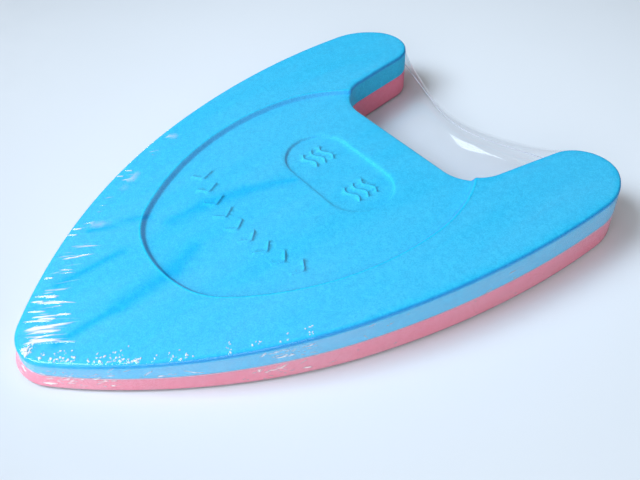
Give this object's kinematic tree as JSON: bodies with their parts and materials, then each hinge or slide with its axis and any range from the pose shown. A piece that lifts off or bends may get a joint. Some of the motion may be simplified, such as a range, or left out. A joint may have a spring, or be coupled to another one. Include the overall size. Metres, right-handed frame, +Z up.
{
  "type": "kickboard float",
  "caption": "A-shaped foam swimming kickboard with a notched tail and a moulded recess on top, sealed in clear shrink film.",
  "frame": {"origin": "on the floor under the middle of the wrapped board", "axes": "+Y from the nose to the notched tail, +X across the board, +Z up through the moulded top"},
  "size_m": [0.2946, 0.4014, 0.0401],
  "materials": {
    "blue_foam": "matte closed-cell foam",
    "pink_foam": "matte closed-cell foam",
    "clear_film": "glossy clear shrink film",
    "film_bead": "cloudy welded film edge"
  },
  "bodies": {
    "root": {"top_foam": "blue_foam", "bottom_foam": "pink_foam", "film_upper": "clear_film", "film_lower": "clear_film", "film_seam": "film_bead"}
  },
  "joints": []
}
